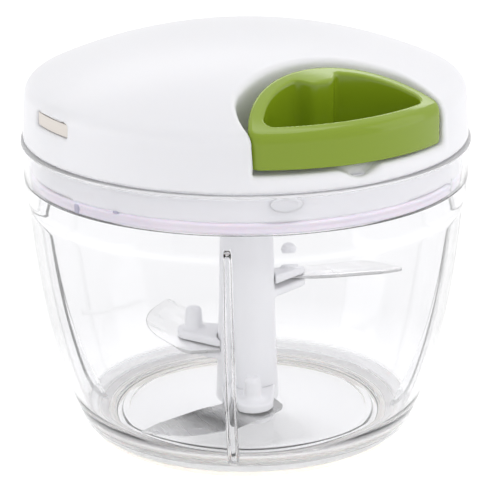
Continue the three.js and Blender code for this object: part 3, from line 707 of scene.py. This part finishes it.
def lock_nub():
    """The oval nub on the skirt, seen through the clear collar."""
    centre = at(RIM_RADIUS - 4.6, -20.4, RIM_TOP - 3.0)
    out, side = at(1.0, -21), at(1.0, 69)

    def field(x, y, z):
        a = (x - centre[0]) * side[0] + (y - centre[1]) * side[1]
        b = (x - centre[0]) * out[0] + (y - centre[1]) * out[1]
        rim = np.hypot(a / 4.4, (z - centre[2]) / 2.2)
        dish = 0.35 * np.clip(1 - rim / 0.7, 0, 1) ** 0.5
        face = np.abs(b) - 2.3 + dish + 0.25 * np.clip(rim - 0.75, 0, 1)
        return np.maximum((rim - 1) * 2.2, face)

    return surface("lock_nub", field, centre - 5.5, centre + 5.5, 0.3, WHITE,
                   "lid")


# ------------------------------------------------------------ handle and cord
KNOT_OUT = -(span("cord_knot")[0][1] + span("cord_knot")[1][1]) / 2


def handle_plan(x, y, inset=0.0):
    arc = np.hypot(x, y + HANDLE_CENTRE) - HANDLE_RADIUS + inset
    front = np.hypot(x, y) - HANDLE_FRONT + inset
    return round_max(arc, front, 3.5)


def handle_field(x, y, z):
    form = round_max(handle_plan(x, y), dome_field(x, y, z, 0.05), 1.3)
    form = round_max(form, HANDLE_LOW[2] + 0.05 - 0.018 * x - z, 0.9)
    boss = round_max(np.abs(x + 0.2) - 4.9, -y - BOSS_END, 3.4)
    hollow = round_max(handle_plan(x, y, HANDLE_WALL), -boss, 3.0)
    hollow = round_max(hollow, HANDLE_LOW[2] + 2.5 - z, 2.0)
    body = round_max(form, -hollow, 0.8)
    bore = np.maximum(np.hypot(x, z - CORD_HEIGHT) - 1.6, -y - KNOT_OUT)
    pocket = np.maximum(np.hypot(x, y + KNOT_OUT) - 2.7, z - CORD_HEIGHT - 3.2)
    return round_max(round_max(body, -bore, 0.3), -pocket, 0.3)


def handle():
    step = 0.45
    return surface("pull_handle", handle_field, HANDLE_LOW, HANDLE_HIGH, step, GREEN,
                   "handle", ["handle"])


def tube(path, ahead, up, radius, sides, joined):
    """Rings of points round a path, at right angles to the way ahead, and the quads that join
    them. The last ring is joined to the first, or both ends are closed."""
    ahead = ahead / np.linalg.norm(ahead, axis=1)[:, None]
    points, faces = [], []
    for centre, direction in zip(path, ahead):
        right = np.cross(direction, up)
        right /= np.linalg.norm(right)
        over = np.cross(right, direction)
        for angle in np.linspace(0, 2 * math.pi, sides, endpoint=False):
            points.append(centre + radius * (math.cos(angle) * right + math.sin(angle) * over))
    for r in range(len(path) if joined else len(path) - 1):
        s = (r + 1) % len(path)
        for c in range(sides):
            d = (c + 1) % sides
            faces.append([r * sides + c, r * sides + d, s * sides + d, s * sides + c])
    if not joined:
        faces.append(list(range(sides))[::-1])
        faces.append(list(range((len(path) - 1) * sides, len(path) * sides)))
    return points, faces


def cord():
    """The cord from the reel's winding, through the lid's eyelet, to the knot in the handle."""
    lead_low, lead_high = span("cord_lead")
    knot_back = span("cord_knot")[1][1]
    start = np.array([lead_low[0] + 0.8, lead_high[1] - 0.8, CORD_HEIGHT])
    bend = np.array([0.0, -27.2, CORD_HEIGHT])
    first = [start + (bend - start) * t for t in np.linspace(0, 0.9, 12)]
    knee = [np.array([-0.35, -27.9, CORD_HEIGHT])]
    straight = [np.array([0.0, y, CORD_HEIGHT]) for y in np.linspace(-28.8, knot_back - 0.6, 60)]
    path = np.array(first + knee + straight)
    ahead = np.gradient(path, axis=0)
    points, faces = tube(path, ahead, [0.0, 0.0, 1.0], CORD_RADIUS, 16, False)
    piece = mesh_piece("pull_cord", points, faces, CORD, None)
    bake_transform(piece)
    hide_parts("cord_lead", "cord_tail")
    return piece


def cord_knot():
    """An overhand knot: a trefoil of cord pulled tight in the handle's boss."""
    low, high = span("cord_knot")
    centre = (low + high) / 2
    t = np.linspace(0, 2 * math.pi, 90, endpoint=False)
    trefoil = np.stack([
        np.sin(t) + 2 * np.sin(2 * t), -np.sin(3 * t) * 1.1, np.cos(t) - 2 * np.cos(2 * t)], axis=1)
    path = centre + trefoil * 0.47
    ahead = np.roll(path, -1, axis=0) - np.roll(path, 1, axis=0)
    points, faces = tube(path, ahead, [0.0, 1.0, 0.0], 0.68, 10, True)
    return mesh_piece("knot", points, faces, CORD, "handle", ["cord_knot"])


# ------------------------------------------------------------ stem and blades
BLADES = {
    "lower": dict(tip=-71.8, peg=-25, inset=4.9, reach=17.0, arm=6.2),
    "middle": dict(tip=-178, peg=-142, inset=3.2, reach=17.6, arm=5.0),
    "upper": dict(tip=76, peg=99, inset=0.5, reach=16.7, arm=5.0),
}
# Painted reflection on the lower blade: dark across its middle, lighter at its root and tip.
painted_reflection_along(LOWER_BLADE_STEEL, at(1.0, BLADES["lower"]["tip"]),
            ((0, 0.42), (10, 0.5), (18, 0.62), (26, 0.1), (33, 0.46), (46, 0.62)))
STEM_SHOULDER = span("drive_socket")[0][2] - 0.3
STEM_FOOT = STEM_LOW[2]
STEM_RADIUS, STEM_FLARE = 7.8, 1.7  # its radius at the top, and how much wider its foot is
CLAMP_THICKNESS, PEG_RADIUS, BLADE_WIDTH = 2.6, 2.85, 19.6


def stem_radius(z):
    share = np.clip((z - STEM_FOOT) / (STEM_SHOULDER - STEM_FOOT), 0, 1)
    return STEM_RADIUS + STEM_FLARE * (1 - share) ** 1.6


def arm_plan(x, y, name, root):
    """An arm that narrows from the stem out to a blade's peg."""
    out, reach, end = at(1.0, BLADES[name]["peg"]), BLADES[name]["reach"], BLADES[name]["arm"]
    along = x * out[0] + y * out[1]
    across = np.abs(-x * out[1] + y * out[0])
    t = np.clip(along / reach, 0, 1)
    return np.hypot(across, along - t * reach) - (root + (end - root) * t)


def stem_field(x, y, z):
    radius = np.hypot(x, y)
    body = round_max(radius - stem_radius(z), z - STEM_SHOULDER, 0.6)
    hexagon = np.maximum(np.abs(x), np.abs(x) * 0.5 + np.abs(y) * 0.866) - 4.5
    body = np.minimum(body, round_max(hexagon, z - STEM_HIGH[2], 0.4))
    for name in BLADES:
        top = span(f"blade_{name}")[0][2] - 0.3
        bottom = max(top - 2.2, STEM_FOOT)
        plan = arm_plan(x, y, name, stem_radius(bottom) - 0.6)
        ledge = round_max(plan, np.maximum(z - top, bottom - z), 0.5)
        body = round_min(body, ledge, 0.8)
    body = round_max(body, STEM_FOOT - z, 0.6)
    return round_max(body, -np.maximum(radius - 3.9, z - STEM_FOOT - 9.4), 0.3)


def stem():
    step = 0.6
    return surface("stem", stem_field, STEM_LOW, STEM_HIGH, step, STEM_WHITE,
                   "drive", ["blade_stem"])


def clamp(name):
    """The white arm over a blade's root, with its peg."""
    node = f"blade_clamp_{name}"
    low, high = span(node)
    peg = at(BLADES[name]["reach"], BLADES[name]["peg"])

    def field(x, y, z):
        plan = arm_plan(x, y, name, stem_radius(low[2]) - 0.6)
        plan = np.maximum(plan, stem_radius(low[2]) + 0.3 - np.hypot(x, y))
        over_plate = z - low[2] - CLAMP_THICKNESS
        plate = round_max(plan, np.maximum(over_plate, low[2] - z), 0.6)
        taper = PEG_RADIUS - 0.4 * np.clip(over_plate / 6.0, 0, 1)
        post = np.hypot(x - peg[0], y - peg[1]) - taper
        post = round_max(post, np.maximum(z - high[2], low[2] + 1 - z), 1.3)
        return round_min(plate, post, 1.2)

    step = 0.4
    return surface(f"clamp_{name}", field, low, high, step, STEM_WHITE,
                   "drive", [node])


def blade_outline(tip, belly=BLADE_WIDTH):
    """The blade from above: its tip, its bellied edge, its root and its nearly straight back."""
    edge = bezier(
        (tip, 0), (tip - 2.5, belly * 0.56), (tip - 14, belly * 1.01), (tip - 28.7, belly), 26)
    root = bezier(edge[-1], (tip - 32, belly), (6, belly), (4, belly * 0.9), 6)[1:]
    back = bezier((9, 4.6), (14, 3.6), (20, 1.6), (27.8, 0.8), 6)
    return np.array([*edge, *root, (0, 8), *back, (tip - 7, -0.6)])


def polygon_distance(x, y, corners):
    """Signed distance to a closed outline, negative inside."""
    nearest = np.full(x.shape, 1e9)
    inside = np.zeros(x.shape, bool)
    for (ax, ay), (bx, by) in zip(corners, np.roll(corners, -1, axis=0)):
        dx, dy = bx - ax, by - ay
        t = np.clip(((x - ax) * dx + (y - ay) * dy) / (dx * dx + dy * dy), 0, 1)
        nearest = np.minimum(nearest, np.hypot(x - ax - t * dx, y - ay - t * dy))
        crosses = (ay > y) != (by > y)
        inside ^= crosses & (x < ax + (y - ay) * dx / (dy if abs(dy) > 1e-9 else 1e-9))
    return np.where(inside, -nearest, nearest)


def blade(name):
    """A ground blade: flat, with a bevel down to the bellied cutting edge."""
    node = f"blade_{name}"
    low, high = span(node)
    middle = (low[2] + high[2]) / 2
    half = (high[2] - low[2]) / 2
    out = at(1.0, BLADES[name]["tip"])
    corners = blade_outline(FOOT_RADIUS - BLADES[name]["inset"])

    def field(x, y, z):
        along, across = x * out[0] + y * out[1], -x * out[1] + y * out[0]
        plan = polygon_distance(along, across, corners)
        belly = np.clip((across - 1.5) / 3.0, 0, 1) * np.clip((along - 6) / 5, 0, 1)
        ground = half - belly * np.clip(0.5 + (plan + 0.2) * 0.14, 0, 0.5) * (half - 0.12) * 2
        flat = np.abs(z - middle) - ground
        body = round_max(plan, flat, 0.1)
        return np.maximum(body, stem_radius(middle) + 0.3 - np.hypot(x, y))

    step = 0.3
    metal = LOWER_BLADE_STEEL if name == "lower" else BLADE_STEEL
    return surface(f"steel_blade_{name}", field, low, high, step, metal,
                   "drive", [node])


def small_turned_parts():
    """Turned pieces that show under the lid and above the stem."""
    low, high = span("drive_socket")
    hub = high[2] - 4.2
    socket = rounded([
        (5.2, low[2] + 0.4), (5.6, low[2]), (7.5, low[2]), (7.9, low[2] + 0.5), (7.9, hub),
        (4.6, hub), (4.6, high[2]), (3.0, high[2]), (3.0, hub - 2.4), (5.2, hub - 2.4),
        (5.2, low[2] + 0.6)], 0.4, 3)
    hub_piece = turned("drive_hub", socket, STEM_WHITE,
                       "drive", ["drive_socket"], 96, True)
    low, high = span("bearing_bush")
    bush = rounded([
        (8.3, low[2] + 0.2), (9.5, low[2]), (9.7, low[2] + 0.3), (9.7, high[2] - 1.2),
        (high[0], high[2] - 1.2), (high[0], high[2]), (8.2, high[2]), (8.2, low[2] + 0.3)], 0.2, 3)
    bearing = turned("lid_bearing", bush, NYLON, "lid", ["bearing_bush"], 96, True)
    front, back = span("cord_eyelet")[0][1], span("cord_eyelet")[1][1]
    depth = back - front
    ring = rounded([
        (1.5, 0), (2.6, 0), (2.7, 0.3), (2.7, depth - 0.9), (4.2, depth - 0.9),
        (4.2, depth), (1.9, depth), (1.5, depth - 0.4), (1.5, 0.2)], 0.25, 3)
    eyelet = turned("cord_guide", ring, NYLON, None, (), 64, True)
    lay_down = Matrix.Rotation(math.radians(90), 4, "X")
    eyelet.data.transform(Matrix.Translation((0, back * MM, CORD_HEIGHT * MM)) @ lay_down)
    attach(eyelet, "lid")
    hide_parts("cord_eyelet")
    return [hub_piece, bearing]


# ------------------------------------------------------------ carried-over CAD nodes
CARRIED = {
    "pivot_pin": PIN_STEEL, "drive_shaft": PIN_STEEL, "lid_screw_1": PIN_STEEL,
    "lid_screw_2": PIN_STEEL, "lid_screw_3": PIN_STEEL, "spiral_spring": SPRING_STEEL,
    "spring_case": NYLON, "spring_case_cover": NYLON, "thrust_washer": NYLON, "top_bush": NYLON,
    "foot_bush": NYLON, "cord_reel": WHITE, "cord_winding": CORD, "side_clip_left": BEIGE,
    "side_clip_right": BEIGE,
}


def dress_carried_nodes():
    for name, material in CARRIED.items():
        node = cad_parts[name]
        node.data.materials.clear()
        node.data.materials.append(material)


# ------------------------------------------------------------ stage
CAMERA_AZIMUTH, CAMERA_DISTANCE, CAMERA_HEIGHT = -30.2, 0.65, 0.2727
CAMERA_PITCH, CAMERA_ROLL, CAMERA_LENS, CAMERA_SHIFT = 18.49, -0.37, 167.2, -0.0009


def camera():
    data = bpy.data.cameras.new("camera")
    data.sensor_width = 36.0
    data.lens = CAMERA_LENS
    data.shift_x = CAMERA_SHIFT
    piece = bpy.data.objects.new("camera", data)
    bpy.context.scene.collection.objects.link(piece)
    place = at(CAMERA_DISTANCE, CAMERA_AZIMUTH, CAMERA_HEIGHT)
    piece.location = place
    aim = at(1.0, CAMERA_AZIMUTH)
    pitch = math.radians(CAMERA_PITCH)
    look = Vector((-aim[0] * math.cos(pitch), -aim[1] * math.cos(pitch), -math.sin(pitch)))
    turn = look.to_track_quat("-Z", "Y")
    piece.rotation_mode = "QUATERNION"
    piece.rotation_quaternion = turn @ Quaternion((0, 0, 1), math.radians(CAMERA_ROLL))
    bpy.context.scene.camera = piece


def area_light(name, place, aim, size, power):
    data = bpy.data.lights.new(name, "AREA")
    data.shape = "RECTANGLE"
    data.size, data.size_y = size
    data.energy = power
    light = bpy.data.objects.new(name, data)
    bpy.context.scene.collection.objects.link(light)
    light.location = place
    light.rotation_euler = (Vector(aim) - Vector(place)).to_track_quat("-Z", "Y").to_euler()
    return light


def shine_through(light, receivers, blockers):
    """Lights only the receivers, shaded only by the blockers. It stands for the light that comes
    through the thin white lid."""
    for kind, pieces in (("receiver", receivers), ("blocker", blockers)):
        group = bpy.data.collections.new(f"{light.name}_{kind}s")
        for piece in pieces:
            group.objects.link(piece)
        setattr(light.light_linking, f"{kind}_collection", group)


def stage():
    scene = bpy.context.scene
    scene.view_settings.view_transform = "Standard"
    scene.cycles.max_bounces = scene.cycles.transmission_bounces = 32
    world = bpy.data.worlds.new("studio")
    world.use_nodes = True
    tree = world.node_tree
    background = tree.nodes["Background"]
    background.inputs["Color"].default_value = (1.0, 1.0, 1.0, 1.0)
    bright_side = Vector((0.7, 0.35, 0.3)).normalized()
    side = vector_math(tree, "DOT_PRODUCT", coordinates(tree, "Generated"), bright_side)
    strength = between(tree, side.outputs["Value"], -1.0, 1.0, 0.8, 0.98)
    tree.links.new(strength, background.inputs["Strength"])
    scene.world = world
    middle = (0.0, 0.0, 0.06)
    area_light("overhead", (0.2, 0.12, 0.72), middle, (0.7, 0.6), 0.25)
    area_light("back", tuple(at(0.6, 145, 0.56)), middle, (0.8, 0.12), 0.7)
    area_light("left", tuple(at(0.7, -115, 0.2)), middle, (0.4, 0.4), 0.5)
    area_light("side", tuple(at(0.7, 55, 0.3)), middle, (0.4, 0.6), 0.5)
    mesh = bpy.data.meshes.new("studio_floor")
    half = 3.0
    corners = [(-half, -half, 0), (half, -half, 0), (half, half, 0), (-half, half, 0)]
    mesh.from_pydata(corners, [], [(0, 1, 2, 3)])
    mesh.materials.append(glowing_floor())
    floor = bpy.data.objects.new("studio_floor", mesh)
    scene.collection.objects.link(floor)
    floor.location.z = -0.0002


# ------------------------------------------------------------ build
camera()
stage()
bowl().visible_shadow = False  # clear plastic stops next to no light
lid = lid_cover()
grip = handle()
cord()
cord_knot()
inner_lid = lid_base()
inner = [base_ring(), seal_ring(), lock_nub(), stem()]
inner += [clamp(name) for name in BLADES] + [blade(name) for name in BLADES]
inner += small_turned_parts() + skirt_marks()
inner += [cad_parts[name] for name in ("pivot_pin", "foot_bush")]
dress_carried_nodes()
middle, top, handle_place = (0.0, 0.0, 0.05), (0.0, 0.0, 0.1), (0.0, -0.05, 0.1)
lit = [*inner, inner_lid]
for name, place, aim, width, power, receivers, blockers in (
    ("inside_top", (0.1, 0.0, 0.7), middle, 0.5, 1.5, lit, inner),
    ("inside_right", tuple(at(0.7, 20, 0.25)), middle, 0.5, 1.3, lit, lit),
    ("inside_left", tuple(at(0.7, -60, 0.25)), middle, 0.5, 0.9, lit, lit),
    ("front_fill", tuple(at(0.6, -20, 0.45)), top, 0.5, 0.42, [lid], [lid]),
    ("handle_top", (0.05, 0.0, 0.7), handle_place, 0.4, 0.75, [grip], [grip]),
):
    shine_through(area_light(name, place, aim, (width, width), power), receivers, blockers)
